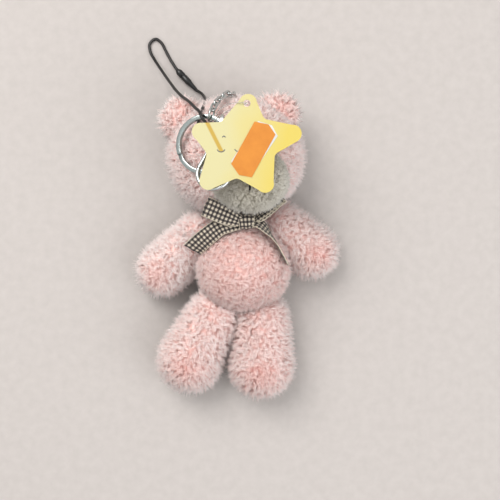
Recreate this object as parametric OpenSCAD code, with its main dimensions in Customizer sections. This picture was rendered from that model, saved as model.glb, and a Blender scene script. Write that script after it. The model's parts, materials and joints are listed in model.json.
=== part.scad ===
// Plush bear keychain lying on its back: +Z is the bear's front, +Y its head, z = 0 the table.

/* [Body] */
// Thickness of the fur fabric that covers every stuffed piece
cover_t = 2.5; // [1.5:0.5:3]
// Radius of the belly
belly_r = 21.5; // [20:0.5:22]
// Radius of the neck
neck_r = 10; // [8:0.5:10]

/* [Head] */
// Half sizes of the head across, along and deep
head_r = [31.5, 27.7, 24]; // [20:0.1:35]
// Half sizes of the muzzle
muzzle_r = [17.5, 15.5, 13.6]; // [12:0.1:18]
// Radius of an ear
ear_r = 11; // [9:0.5:12]
// Full thickness of an ear
ear_t = 11; // [8:0.5:12]
// Radius of an eye
eye_r = 2.6; // [2:0.1:3]

/* [Ribbon] */
// Width of the checked ribbon
ribbon_w = 8.8; // [7:0.1:9]
// Thickness of the ribbon
ribbon_t = 0.4; // [0.3:0.05:0.5]

/* [Hardware] */
// Outer radius of the split ring
ring_r = 14; // [13:0.5:14]
// Width of the split ring's flat wire
ring_w = 2.2; // [1.8:0.1:2.2]
// Height of the split ring's two turns together
ring_h = 2.4; // [2:0.1:2.4]
// Radius of the chain's wire
chain_wire = 0.52; // [0.4:0.02:0.6]
// Thickness of the clasp's casting
clasp_t = 2.4; // [2:0.1:2.6]
// Outer radius of the clasp's round end
hook_r = 8.6; // [8:0.1:9]
// Radius of the gate's pin
pin_r = 0.5; // [0.4:0.02:0.6]

/* [Tags] */
// Thickness of the star tag
star_t = 0.6; // [0.4:0.1:0.8]
// Radius of the star's rounded points
star_point_r = 4; // [3.5:0.1:4.2]
// Thickness of each paper label
label_t = 0.12; // [0.1:0.01:0.15]
// Diameter of the black cord
cord_d = 1.5; // [1:0.1:1.6]

/* [Hidden] */
$fn = 48;

gap = 0.1;               // between a cover and what it holds
big = 200;               // larger than the whole part

// Places, from the middle of the back of the bear
torso_c = [3, -10.7, 20.2];
belly_down = 20.6;       // from the belly's middle to the crotch
shoulder_up = 16.7;      // from the belly's middle to the foot of the neck
neck_top = 26.2;         // from the belly's middle to the top of the neck
head_c = [-0.5, 43.8, 23.4];
muzzle_c = [6, 32.5, 39.2];
ear_c = [[-25.3, 60.8, 25], [18.4, 62.7, 25]];
eye_at = [[-4.5, 47], [17.6, 47]];
nose_c = [6.3, 34, 51.8];
post_r = 0.9;            // radius of an eye's post
washer_r = 3.6;          // radius of the washer that locks it
washer_t = 0.8;
washer_depth = 2.9;      // from the face to the washer

// Arms and legs: the ball at the body, its radius, the ball at the paw, its radius
arm_left = [[-20.8, 7.4, 13.2], 8.2, [-37.4, -11.9, 11.4], 11.4];
arm_right = [[22.9, 12.6, 13.2], 8.2, [37.1, -2.4, 11.7], 11.7];
leg_left = [[-13, -37.6, 15], 9.4, [-23.5, -56.7, 14.3], 14.3];
leg_right = [[12.8, -39, 15], 9.4, [11.9, -59.4, 14.3], 14.3];

// Where each chain link meets the next, from the head's loop to the split ring
chain_at = [
    [-1.8, 73.4, 30.4], [-3.9, 73.2, 34.3], [-6.2, 71.4, 37.9], [-8.2, 69.2, 41.6],
    [-9.9, 66.6, 45.4], [-11, 63.2, 48.7], [-12.2, 58.6, 48.2]
];
link_turn = [145, 172, 54, 137, 40, 118, 19];
loop_foot = [-0.9, 71, 26.4];
link_reach = 0.8;        // from a meeting point to the middle of the wire on each side
link_w = 2.6;            // between the middles of a link's two long sides
last_link_w = 5.2;       // the same on the link that holds the ring
loop_w = 3.3;            // the same on the loop sewn into the head

// The split ring, the clasp that hangs on it, and the way the clasp points
ring_c = [-15, 47.4, 47.2];
ring_tilt = 20;
clasp_c = [-6.4, 56.3, 51];
clasp_yaw = -99;
clasp_rise = -14;
clasp_roll = 11;
hook_x = 24.2;           // from the clasp's eye to the middle of its round end
gate_at = [12, 5.6];     // the gate's pin, in the clasp's own plane

// The star tag and its labels
star_z = 60.8;
star_hole = [5, 64.3];
star_hole_r = 1.6;
star_tips = [[25.7, 50.6], [5.5, 64.5], [-15.9, 51.5], [-12.5, 29.2], [13.2, 27.9]];
star_notches = [[12.7, 57.2], [-6.8, 55.8], [-13, 41.7], [0.5, 30.6], [17.5, 41.3]];
star_lean = [18, 83, 160, 232, 300];
notch_r = 3;             // of the round corner in each notch
label_c = [7.9, 43.5];
label_turn = 61;
label_outline = [[13.1, -0.6], [11.2, 5.6], [-10.6, 5.6], [-13.3, 0], [-11.4, -5.5], [10.6, -5.5]];

// Route of the nylon loop that holds the tag, and its wire's radius
fastener_wire_r = 0.3;
fastener_route = [
    [5, 64.3, 61.2], [4.7, 64.3, 62], [3.4, 64.4, 62.2], [0.4, 64.4, 62.1], [-2.4, 64.2, 61],
    [-5.6, 63.4, 57], [-8.2, 62.4, 53.4], [-9, 61.8, 49.8], [-9.1, 60.6, 47], [-9.8, 58, 46.2],
    [-10.9, 55.6, 47.2], [-11, 55.8, 50.8], [-9.2, 58.4, 53.6], [-5, 61, 56.2], [-1, 62.6, 58.4],
    [2.4, 63.6, 59.6], [4.4, 64.1, 60.2], [4.95, 64.25, 60.8]
];

// Route of the black cord, a loop through the split ring that both starts and ends in its lock
cord_route = [
    [-21.4, 80.5, 1.9], [-18.6, 78.4, 4], [-17.2, 76.4, 7.8], [-16.4, 74.6, 12], [-15.8, 73, 16.4],
    [-15.6, 71.8, 21], [-15.6, 70.4, 25.4], [-15.8, 68.6, 29.8], [-16.4, 65.8, 34.8],
    [-17.2, 62.6, 38.4], [-18, 59, 41.2], [-18, 55.4, 43.4], [-17.2, 52, 45.2],
    [-15.4, 48.9, 46.7], [-12.6, 47.2, 47.8], [-10.4, 48.4, 48.8], [-10.4, 51, 49.4], [-11.8, 53.8, 50],
    [-14, 56.6, 50.6], [-16, 59.6, 50.8], [-17.2, 62.4, 48.8], [-19.2, 64.6, 45.4], [-21.2, 67, 41.6],
    [-23.6, 69.6, 37], [-26, 71.8, 32.6], [-28.4, 74.4, 28.4], [-30.6, 77.2, 24.4], [-32.6, 80.2, 20.4],
    [-34.6, 83.2, 16.4], [-36.6, 86.2, 12.6], [-38.6, 89.4, 8.8], [-40.8, 92.8, 5.4],
    [-43, 96.4, 2.6], [-45, 100.2, 1], [-45.4, 104.4, 0.8], [-42.4, 107, 0.8], [-39.2, 104.8, 0.8],
    [-37.2, 101, 0.8], [-35.2, 97.2, 1], [-33.2, 93.8, 1.5], [-31.2, 90.8, 1.9]
];
lock_r = 1.7;

function unit(v) = v / norm(v);

// Outline of one ball or of two unlike balls joined by a cone, from pole to pole
function limb_outline(r1, r2, length, steps = 10) =
    let (a = asin((r1 - r2) / length))
    [
        for (i = [0:steps]) let (t = -90 + (a + 90) * i / steps) [r1 * cos(t), r1 * sin(t)],
        for (i = [0:steps]) let (t = a + (90 - a) * i / steps) [r2 * cos(t), length + r2 * sin(t)]
    ];

// Radius of the torso at a height along its own axis, counted from the belly's middle
function torso_radius(y, inset) =
    y < 0 ? (belly_r - inset) * sqrt(max(0, 1 - pow(y / (belly_down - inset), 2)))
    : neck_r - inset + (belly_r - neck_r) * sqrt(max(0, 1 - pow(y / (shoulder_up - inset), 2.4)));

function torso_outline(inset, steps = 14) = [
    for (i = [0:steps]) let (y = -(belly_down - inset) * cos(90 * i / steps)) [torso_radius(y, inset), y],
    for (i = [1:steps]) let (y = (shoulder_up - inset) * sin(90 * i / steps)) [torso_radius(y, inset), y],
    [neck_r - inset, neck_top - inset],
    [0, neck_top - inset]
];

// Height of the head's front above a point of the face, and the way the face looks there
function head_front(p) =
    head_c.z + head_r.z * sqrt(1 - pow((p.x - head_c.x) / head_r.x, 2) - pow((p.y - head_c.y) / head_r.y, 2));
function head_out(p) =
    let (d = [p.x, p.y, head_front(p)] - head_c)
    unit([d.x / pow(head_r.x, 2), d.y / pow(head_r.y, 2), d.z / pow(head_r.z, 2)]);

// Directions along and across a route at one of its points
function along(route, i) = unit(route[min(i + 1, len(route) - 1)] - route[max(i - 1, 0)]);
function across(route, i) =
    i == 0 ? unit(cross(along(route, 0), [0.3, 0.2, 1]))
    : let (a = along(route, i), b = across(route, i - 1)) unit(b - (b * a) * a);

// A round tube along a route of points
module tube(route, r, sides = 8) {
    last = len(route) - 1;
    points = [
        for (i = [0:last])
            let (u = across(route, i), v = cross(along(route, i), u))
            for (k = [0:sides - 1]) route[i] + r * (cos(360 * k / sides) * u + sin(360 * k / sides) * v)
    ];
    walls = [
        for (i = [0:last - 1], k = [0:sides - 1])
            let (n = (k + 1) % sides)
            [i * sides + k, (i + 1) * sides + k, (i + 1) * sides + n, i * sides + n]
    ];
    ends = [
        [for (k = [0:sides - 1]) k],
        [for (k = [sides - 1:-1:0]) last * sides + k]
    ];
    polyhedron(points, concat(walls, ends), convexity = 6);
}

// Turns what is drawn along +Z so that it runs from one point towards another
module from_to(p, q) {
    d = q - p;
    translate(p)
        rotate([0, acos(d.z / norm(d)), atan2(d.y, d.x)])
            children();
}

// An ellipsoid
module ball(c, r) {
    translate(c) scale(r) sphere(r = 1);
}

module above_table() {
    intersection() {
        children();
        translate([-big / 2, -big / 2, 0]) cube(big);
    }
}

module torso_shape(inset) {
    translate(torso_c)
        rotate([-90, 0, 0])
            rotate_extrude() polygon(torso_outline(inset));
}

module head_shape(inset) {
    ball(head_c, head_r - [inset, inset, inset]);
}

module limb_shape(limb, inset) {
    length = norm(limb[2] - limb[0]);
    from_to(limb[0], limb[2])
        rotate_extrude() polygon(limb_outline(limb[1] - inset, limb[3] - inset, length));
}

// An eye's own frame: its origin on the face, +Z out of the head
module at_eye(side) {
    p = eye_at[side];
    q = [p.x, p.y, head_front(p)];
    from_to(q, q + head_out(p)) children();
}

module torso_cover() {
    color("lightpink") difference() {
        above_table() torso_shape(0);
        torso_shape(cover_t);
    }
}

module torso_filling() {
    color("white") torso_shape(cover_t + gap);
}

module head_cover() {
    color("lightpink") difference() {
        above_table() head_shape(0);
        head_shape(cover_t);
        for (side = [0, 1])
            at_eye(side) translate([0, 0, -washer_depth]) cylinder(r = post_r + gap, h = 2 * washer_depth);
    }
}

module head_filling() {
    color("white") head_shape(washer_depth + washer_t + 0.5);
}

module ear(side) {
    color("pink") difference() {
        translate(ear_c[side])
            rotate_extrude()
                polygon([for (t = [-90:15:90]) [ear_r * cos(t), ear_t / 2 * sin(t)]]);
        ball(head_c, head_r + [gap, gap, gap]);
    }
}

module muzzle_cover() {
    color("whitesmoke") difference() {
        ball(muzzle_c, muzzle_r);
        ball(head_c, head_r + [gap, gap, gap]);
    }
}

module nose() {
    color("black") difference() {
        ball(nose_c, [3.6, 2.6, 2.4]);
        ball(muzzle_c, muzzle_r);
    }
}

// Thread stitched down the middle of the muzzle, an arc that follows its crown
module mouth_stitch() {
    stitch_r = 0.35;
    stitch_reach = 13.95;
    color("black")
        translate([nose_c.x, muzzle_c.y, muzzle_c.z])
            rotate([0, -90, 0])
                rotate([0, 0, -34])
                    rotate_extrude(angle = 28, $fn = 96)
                        translate([stitch_reach, 0]) circle(r = stitch_r);
}

module safety_eye(side) {
    color("black") at_eye(side) {
        intersection() {
            sphere(r = eye_r);
            translate([-eye_r, -eye_r, gap]) cube(2 * eye_r);
        }
        translate([0, 0, 0.3 - washer_depth - washer_t]) cylinder(r = post_r, h = washer_depth + washer_t);
    }
}

module eye_washer(side) {
    color("white") at_eye(side)
        translate([0, 0, -washer_depth - washer_t])
            difference() {
                cylinder(r = washer_r, h = washer_t);
                translate([0, 0, -1]) cylinder(r = post_r + 0.05, h = 3);
            }
}

// One oval link of round wire; p and q are where it meets its neighbours
module link(p, q, w, wire_r, roll) {
    l = norm(q - p) + 2 * link_reach;
    from_to(p, q)
        rotate([0, 0, roll])
            translate([0, 0, -link_reach]) {
                for (s = [-1, 1])
                    translate([s * w / 2, 0, w / 2]) cylinder(r = wire_r, h = l - w);
                for (s = [0, 1])
                    translate([0, 0, s ? l - w / 2 : w / 2])
                        rotate([90, 0, 0])
                            rotate_extrude(angle = s ? 180 : -180) translate([w / 2, 0]) circle(r = wire_r);
            }
}

module head_loop() {
    color("silver") link(loop_foot, chain_at[0], loop_w, chain_wire, link_turn[0]);
}

module chain_link(i) {
    last = i == 6;
    color("silver")
        link(chain_at[i - 1], chain_at[i], last ? last_link_w : link_w, chain_wire, link_turn[i]);
}

module limb_cover(limb) {
    color("lightpink") difference() {
        limb_shape(limb, 0);
        limb_shape(limb, cover_t);
    }
}

module limb_filling(limb) {
    color("white") limb_shape(limb, cover_t + gap);
}

// The band of ribbon round the neck
module neck_ribbon() {
    color("dimgray")
        translate([torso_c.x, 6.4, torso_c.z])
            rotate([-90, 0, 0])
                rotate_extrude()
                    translate([neck_r + gap, 0]) square([ribbon_t, ribbon_w - 0.8]);
}

module bow_knot() {
    color("dimgray")
        translate([4.7, 11.9, 35.2])
            rotate([0, 0, 4])
                rotate([0, 90, 0])
                    linear_extrude(8, center = true)
                        hull() {
                            square([4.6, 6.6], center = true);
                            square([7.4, 4.6], center = true);
                        }
}

// A flat loop of ribbon, drawn from the knot along +X
module bow_loop(length, width, height) {
    rotate([90, 0, 0])
        linear_extrude(width, center = true)
            difference() {
                bow_side(length, height);
                offset(delta = -ribbon_t) bow_side(length, height);
            }
}

module bow_side(length, height) {
    hull() {
        translate([height / 2, 0]) circle(d = height, $fn = 24);
        translate([length - height / 2, 0]) circle(d = height, $fn = 24);
    }
}

module bow_loop_left() {
    color("dimgray")
        translate([0.4, 13, 38.2])
            rotate([0, 0, 161])
                bow_loop(16, ribbon_w - 0.6, 2.4);
}

module bow_loop_right() {
    color("dimgray")
        translate([9.2, 12.4, 33.8])
            rotate([0, -0.5, 34])
                rotate([-32, 0, 0])
                    bow_loop(16, ribbon_w - 3, 2);
}

module ribbon_tail_left() {
    color("dimgray")
        translate([0.4, 10.4, 36.2])
            rotate([0, 12, 211])
                rotate([24, 0, 0])
                    linear_extrude(ribbon_t)
                        polygon([[0, -3.6], [26, -4.4], [22.5, 4.4], [0, 3.6]]);
}

module ribbon_tail_right() {
    color("dimgray")
        translate([10, 11.6, 39.9])
            rotate([0, 14, -53])
                rotate([68, 0, 0])
                    linear_extrude(ribbon_t)
                        polygon([[0, -2.6], [21, -3], [24, 3], [0, 2.6]]);
}

// Two flat turns of wire, seen as one ring with a groove round its inside and outside
module split_ring() {
    groove = 0.2;
    color("silver")
        translate(ring_c)
            rotate([0, -ring_tilt, 0])
                rotate_extrude($fn = 96)
                    difference() {
                        translate([ring_r - ring_w, -ring_h / 2]) square([ring_w, ring_h]);
                        for (x = [ring_r - ring_w - groove, ring_r - groove])
                            translate([x, -groove / 2]) square([2 * groove, groove]);
                    }
}

// The clasp's own frame: +X from its eye to its round end, +Z out of its plane
module in_clasp() {
    translate(clasp_c)
        rotate([clasp_roll, clasp_rise, clasp_yaw])
            children();
}

module clasp_eye() {
    color("silver") in_clasp() {
        translate([3.1, 0, 0]) rotate([0, 90, 0]) cylinder(r = 0.95, h = 6.1);
        translate([8.2, 0, 0]) rotate([0, 90, 0]) cylinder(r = 1.5, h = 1);
        difference() {
            rotate([90, 0, 0])
                linear_extrude(1.5, center = true)
                    hull()
                        for (x = [-1.2, 1.6]) translate([x, 0]) circle(r = 3.2, $fn = 32);
            rotate([90, 0, 0])
                linear_extrude(4, center = true)
                    hull()
                        for (x = [-1.2, 1.2]) translate([x, 0]) circle(r = 2.2, $fn = 32);
        }
    }
}

module clasp_outline(r_neck, r_end, x_neck) {
    hull() {
        translate([x_neck, 0]) circle(r = r_neck, $fn = 32);
        translate([hook_x, 0]) circle(r = r_end, $fn = 64);
    }
}

module clasp_body() {
    color("silver") in_clasp() difference() {
        union() {
            linear_extrude(clasp_t, center = true)
                difference() {
                    clasp_outline(3.6, hook_r, 9.6);
                    clasp_outline(1.9, hook_r - 2.1, 11);
                    polygon([[gate_at.x, 3.2], [gate_at.x, 12], [26, 12], [25, 3.2]]);
                }
            translate([4.8, 0, 0]) rotate([0, 90, 0]) cylinder(r = 2.3, h = 3);
            translate([gate_at.x, gate_at.y, 0]) cylinder(r = 1.5, h = clasp_t, center = true);
        }
        translate([4, 0, 0]) rotate([0, 90, 0]) cylinder(r = 1, h = 7);
        translate([7.9, 0, 0]) rotate([0, 90, 0]) cylinder(r = 1.7, h = 1.7);
        translate([gate_at.x, gate_at.y, 0]) {
            cylinder(r = pin_r, h = 4, center = true);
            cylinder(r = 2.2, h = 1.5, center = true);
        }
    }
}

module clasp_gate() {
    color("silver") in_clasp() difference() {
        union() {
            translate([gate_at.x, gate_at.y, -0.6]) cylinder(r = 1.3, h = 0.9);
            translate([0, 0, -0.6])
                linear_extrude(0.9)
                    polygon([[12.2, 6.8], [12.2, 4.6], [16, 5.2], [16, 7.3]]);
            translate([0, 0, -1])
                linear_extrude(2)
                    polygon([[15, 5.3], [25, 6.3], [24.6, 8.3], [19, 7.9], [17.4, 9.2], [15, 7.3]]);
        }
        translate([gate_at.x, gate_at.y, 0]) cylinder(r = pin_r + 0.05, h = 4, center = true);
    }
}

module clasp_pin() {
    color("silver") in_clasp()
        translate([gate_at.x, gate_at.y, 0]) cylinder(r = pin_r, h = clasp_t, center = true);
}

// The small coil that pushes the gate shut
module clasp_spring() {
    color("silver") in_clasp()
        translate([gate_at.x, gate_at.y, 0.52])
            rotate_extrude() translate([0.85, 0]) circle(r = 0.16);
}

module tag_fastener() {
    color("white") tube(fastener_route, fastener_wire_r);
}

// Outline of the star: a round point at each tip and a corner in each notch
function star_outline() = [
    for (i = [0:4]) each [
        for (k = [-6:6])
            let (a = star_lean[i] + 13 * k)
            star_tips[i] + star_point_r * [cos(a), sin(a)],
        star_notches[i]
    ]
];

module star_tag() {
    color("khaki")
        translate([0, 0, star_z])
            difference() {
                linear_extrude(star_t) offset(r = -notch_r) offset(delta = notch_r) polygon(star_outline());
                translate([star_hole.x, star_hole.y, -1]) cylinder(r = star_hole_r, h = 3);
            }
}

module label(offset_xy, turn, level) {
    translate([label_c.x + offset_xy.x, label_c.y + offset_xy.y, star_z + star_t + level])
        rotate([0, 0, turn])
            linear_extrude(label_t) polygon(label_outline);
}

module under_label() {
    color("white") label([0.5, 0.3], label_turn - 5, 0);
}

module price_label() {
    color("orange") label([0, 0], label_turn, label_t);
}

module hang_cord() {
    color("black") tube(cord_route, cord_d / 2);
}

// The snap tube that closes the cord's loop
module cord_lock() {
    p = cord_route[len(cord_route) - 1];
    q = cord_route[0];
    color("black")
        from_to(p, q)
            rotate_extrude()
                polygon([
                    [0, 0], [1, 0], [lock_r, 1.5], [lock_r, 9], [lock_r - 0.5, 11],
                    [0.9, norm(q - p)], [0, norm(q - p)]
                ]);
}

torso_cover();
torso_filling();
head_cover();
head_filling();
ear(0);  // ear_left
ear(1);  // ear_right
muzzle_cover();
nose();
mouth_stitch();
safety_eye(0);  // eye_left
safety_eye(1);  // eye_right
eye_washer(0);  // eye_washer_left
eye_washer(1);  // eye_washer_right
head_loop();
limb_cover(arm_left);  // arm_cover_left
limb_filling(arm_left);  // arm_filling_left
limb_cover(arm_right);  // arm_cover_right
limb_filling(arm_right);  // arm_filling_right
limb_cover(leg_left);  // leg_cover_left
limb_filling(leg_left);  // leg_filling_left
limb_cover(leg_right);  // leg_cover_right
limb_filling(leg_right);  // leg_filling_right
neck_ribbon();
bow_knot();
bow_loop_left();
bow_loop_right();
ribbon_tail_left();
ribbon_tail_right();
chain_link(1);  // chain_link_1
chain_link(2);  // chain_link_2
chain_link(3);  // chain_link_3
chain_link(4);  // chain_link_4
chain_link(5);  // chain_link_5
chain_link(6);  // chain_link_6
split_ring();
clasp_eye();
clasp_body();
clasp_gate();
clasp_pin();
clasp_spring();
tag_fastener();
star_tag();
under_label();
price_label();
hang_cord();
cord_lock();
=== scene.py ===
"""A pink plush bear on a short chain, with a ribbon bow, a split ring, a clasp, a star tag and a cord.

Lengths are in millimetres until a mesh is made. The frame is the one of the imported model.
"""
import json
import math

import bpy
import numpy as np
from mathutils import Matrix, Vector


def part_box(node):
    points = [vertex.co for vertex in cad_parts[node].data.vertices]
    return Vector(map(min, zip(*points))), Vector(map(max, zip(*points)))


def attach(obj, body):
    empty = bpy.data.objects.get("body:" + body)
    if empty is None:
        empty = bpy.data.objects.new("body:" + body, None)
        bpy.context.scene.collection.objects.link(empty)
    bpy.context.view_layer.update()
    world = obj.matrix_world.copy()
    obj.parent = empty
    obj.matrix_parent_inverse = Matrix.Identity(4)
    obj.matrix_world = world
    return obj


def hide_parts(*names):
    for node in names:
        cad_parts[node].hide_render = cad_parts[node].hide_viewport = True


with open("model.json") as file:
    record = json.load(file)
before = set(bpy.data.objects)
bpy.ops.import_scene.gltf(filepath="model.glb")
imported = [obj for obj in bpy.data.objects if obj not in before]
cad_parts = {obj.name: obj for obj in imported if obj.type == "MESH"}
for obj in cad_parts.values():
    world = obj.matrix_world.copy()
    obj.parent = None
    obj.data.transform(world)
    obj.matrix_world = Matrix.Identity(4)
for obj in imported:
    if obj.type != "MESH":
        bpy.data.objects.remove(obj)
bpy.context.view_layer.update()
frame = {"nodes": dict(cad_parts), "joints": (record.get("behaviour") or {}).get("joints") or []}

MM = 0.001
JOINTS = {joint["name"]: joint for joint in frame["joints"]}
rng = np.random.default_rng(11)

# ---------------------------------------------------------------- numbers

CAMERA_AT = (6.37, -1.9, 480.0)
CAMERA_LENS = 66.85
TABLE_GAP = 0.2            # the lowest fur above the table
FLOOR_SIZE = 3.0           # metres
CORD_WIRE = 1.5
RIBBON_WIDTH = 8.4
RIBBON_THICK = 0.3
SELVAGE = 0.3              # the plain thread along each edge of the ribbon
CHECK = 1.0                # one square of the gingham
UV_SPAN = 100.0            # millimetres in one unit of the ribbon's map
SKIN_DEPTH = 1.4           # how far the cloth under the pile lies inside the cover
CORD_CLEAR = 1.5           # how far the pile is held off the cord, the ribbon and the chain
RIBBON_CLEAR = 1.1
CHAIN_CLEAR = 2.2
PIECE_HAIRS = 21500        # the most hairs in one piece of fur
MIX_FROM, MIX_TO, MIX_OUT = 6, 7, 2    # the colour sockets of a mix node

# Each part's fur: how deep its cloth lies, the length of the pile, hairs in a tuft, tuft spacing
FUR = {
    "head": {"depth": SKIN_DEPTH, "pile": 3.6, "strands": 9, "spacing": 1.1},
    "muzzle": {"depth": 0.9, "pile": 2.3, "strands": 9, "spacing": 0.85},
    "ear": {"depth": 1.4, "pile": 3.8, "strands": 10, "spacing": 1.05},
    "torso": {"depth": 1.1, "pile": 3.1, "strands": 8, "spacing": 1.0},
    "limb": {"depth": SKIN_DEPTH, "pile": 3.8, "strands": 9, "spacing": 1.1},
}
TORSO_MIDDLE = (3, -10.7, 20.2)
TORSO_RADII = (21.5, 20.6, 21.5)
CHEST = ((3, -4, 20.2), 14, (3, 14, 20.2), 9.4)    # the neck's cone: two middles with their radii
NECK_MIDDLE = (3.0, 10.3, 20.2)
NECK_REACH = 10.45
KNOT_MIDDLE = (4.7, 11.9, 35.2)

# The middle of the chain where it lies on the head
CHAIN_LINE = [
    (-1.8, 73.4, 30.4), (-3.9, 73.2, 34.3), (-6.2, 71.4, 37.9), (-8.2, 69.2, 41.6), (-9.9, 66.6, 45.4),
]

# The cord's route, from the lock's thin end round the split ring and back
CORD_ROUTE = [
    (-21.4, 80.5, 1.9), (-18.6, 78.4, 4), (-17.2, 76.4, 7.8), (-16.4, 74.6, 12), (-15.8, 73, 16.4),
    (-15.6, 71.8, 21), (-15.6, 70.4, 25.4), (-15.8, 68.6, 29.8), (-16.4, 65.8, 34.8),
    (-17.2, 62.6, 38.4), (-18, 59, 41.2), (-18, 55.4, 43.4), (-17.2, 52, 45.2),
    (-15.4, 48.9, 46.7), (-12.6, 47.2, 47.8), (-10.4, 48.4, 48.8), (-10.4, 51, 49.4), (-11.8, 53.8, 50),
    (-14, 56.6, 50.6), (-16, 59.6, 50.8), (-17.2, 62.4, 48.8), (-19.2, 64.6, 45.4), (-21.2, 67, 41.6),
    (-23.6, 69.6, 37), (-26, 71.8, 32.6), (-28.4, 74.4, 28.4), (-30.6, 77.2, 24.4), (-32.6, 80.2, 20.4),
    (-34.6, 83.2, 16.4), (-36.6, 86.2, 12.6), (-38.6, 89.4, 8.8), (-40.8, 92.8, 5.4),
    (-43, 96.4, 2.6), (-45, 100.2, 1), (-45.4, 104.4, 0.8), (-42.4, 107, 0.8), (-39.2, 104.8, 0.8),
    (-37.2, 101, 0.8), (-35.2, 97.2, 1), (-33.2, 93.8, 1.5), (-31.2, 90.8, 1.9),
]


# ---------------------------------------------------------------- helpers

def tone(red, green, blue):
    """A colour given as it looks on a screen, 0 to 255, as linear light."""
    values = []
    for part in (red, green, blue):
        part = part / 255
        values.append(part / 12.92 if part <= 0.04045 else ((part + 0.055) / 1.055) ** 2.4)
    return (*values, 1.0)


def unit(vectors):
    return vectors / np.maximum(np.linalg.norm(vectors, axis=-1, keepdims=True), 1e-9)


def smooth_route(points, step):
    """A Catmull-Rom line through the points, in even steps."""
    points = np.asarray(points, float)
    padded = np.vstack([2 * points[0] - points[1], points, 2 * points[-1] - points[-2]])
    dense = []
    for i in range(1, len(padded) - 2):
        a, b, c, d = padded[i - 1:i + 3]
        for t in np.linspace(0, 1, 12, endpoint=False):
            dense.append(0.5 * (2 * b + (c - a) * t + (2 * a - 5 * b + 4 * c - d) * t ** 2
                                + (3 * b - a - 3 * c + d) * t ** 3))
    dense.append(points[-1])
    dense = np.array(dense)
    along = np.concatenate([[0], np.cumsum(np.linalg.norm(np.diff(dense, axis=0), axis=1))])
    count = max(2, round(along[-1] / step) + 1)
    places = np.linspace(0, along[-1], count)
    return np.stack([np.interp(places, along, dense[:, k]) for k in range(3)], axis=1)


def mesh_object(name, points, faces, materials, smooth=True):
    mesh = bpy.data.meshes.new(name)
    mesh.from_pydata((np.asarray(points) * MM).tolist(), [], [list(f) for f in faces])
    for surface in materials:
        mesh.materials.append(surface)
    if smooth:
        mesh.shade_smooth()
    mesh.update()
    obj = bpy.data.objects.new(name, mesh)
    bpy.context.scene.collection.objects.link(obj)
    return obj


def sweep(name, route, normals, section, surface, closed=False):
    """A section of (side, up) points carried along a route; normals are the route's up directions."""
    route = np.asarray(route, float)
    if closed:
        ahead = unit(np.roll(route, -1, 0) - np.roll(route, 1, 0))
    else:
        ahead = unit(np.gradient(route, axis=0))
    up = unit(normals - ahead * (normals * ahead).sum(1, keepdims=True))
    side = np.cross(ahead, up)
    section = np.asarray(section, float)
    if section.ndim == 2:
        section = np.repeat(section[None], len(route), 0)
    points = route[:, None] + side[:, None] * section[..., :1] + up[:, None] * section[..., 1:]
    count, ring = points.shape[:2]
    faces = []
    for i in range(count if closed else count - 1):
        for k in range(ring):
            a, b = i * ring + k, i * ring + (k + 1) % ring
            c, d = (i + 1) % count * ring + (k + 1) % ring, (i + 1) % count * ring + k
            faces.append((a, d, c, b))
    if not closed:
        faces.append(list(range(ring)))
        faces.append([(count - 1) * ring + k for k in reversed(range(ring))])
    return mesh_object(name, points.reshape(-1, 3), faces, [surface])


def rounded(width, height, radius, steps=4):
    """The outline of a rounded rectangle."""
    corners = [(1, 1, 0), (-1, 1, 90), (-1, -1, 180), (1, -1, 270)]
    outline = []
    for x, y, start in corners:
        for k in range(steps + 1):
            angle = math.radians(start + 90 * k / steps)
            outline.append((x * (width / 2 - radius) + radius * math.cos(angle),
                            y * (height / 2 - radius) + radius * math.sin(angle)))
    return np.array(outline)


def disc(radius, count=10):
    angles = np.linspace(0, 2 * math.pi, count, endpoint=False)
    return np.stack([radius * np.cos(angles), radius * np.sin(angles)], axis=1)


def any_normals(route):
    """Directions square to the route that turn as little as they can."""
    ahead = unit(np.gradient(np.asarray(route, float), axis=0))
    up = [unit(np.cross(ahead[0], (0.31, 0.2, 0.93)))]
    for direction in ahead[1:]:
        last = up[-1] - direction * (up[-1] @ direction)
        up.append(last / np.linalg.norm(last))
    return np.array(up)


def box_mm(node):
    low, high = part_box(node)
    return np.array(low) / MM, np.array(high) / MM


# ---------------------------------------------------------------- materials

def material(name, colour, roughness, **sockets):
    """A Principled material; a socket's name is written with _ for a space."""
    made = bpy.data.materials.new(name)
    made.use_nodes = True
    shader = made.node_tree.nodes["Principled BSDF"]
    shader.inputs["Base Color"].default_value = colour
    shader.inputs["Roughness"].default_value = roughness
    for socket, value in sockets.items():
        shader.inputs[socket.replace("_", " ")].default_value = value
    made.diffuse_color = colour
    return made


def node(tree, kind, **settings):
    made = tree.nodes.new(kind)
    for key, value in settings.items():
        setattr(made, key, value)
    return made


def math_node(tree, operation, first, second=0.0):
    made = node(tree, "ShaderNodeMath", operation=operation)
    for socket, value in zip(made.inputs, (first, second)):
        if isinstance(value, (int, float)):
            socket.default_value = value
        else:
            tree.links.new(value, socket)
    return made.outputs[0]


def noise(made, scale, detail=4.0):
    tree = made.node_tree
    place = node(tree, "ShaderNodeTexCoord")
    grain = node(tree, "ShaderNodeTexNoise")
    grain.inputs["Scale"].default_value = scale
    grain.inputs["Detail"].default_value = detail
    tree.links.new(place.outputs["Object"], grain.inputs["Vector"])
    return grain.outputs["Fac"]


def blend_colours(made, factor, low, high):
    """Mixes two colours by a factor and sends them to the base colour."""
    tree = made.node_tree
    ramp = node(tree, "ShaderNodeValToRGB")
    ramp.color_ramp.elements[0].position = 0.3
    ramp.color_ramp.elements[0].color = low
    ramp.color_ramp.elements[1].position = 0.7
    ramp.color_ramp.elements[1].color = high
    tree.links.new(factor, ramp.inputs["Fac"])
    tree.links.new(ramp.outputs["Color"], tree.nodes["Principled BSDF"].inputs["Base Color"])
    return ramp.outputs["Color"]


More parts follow.
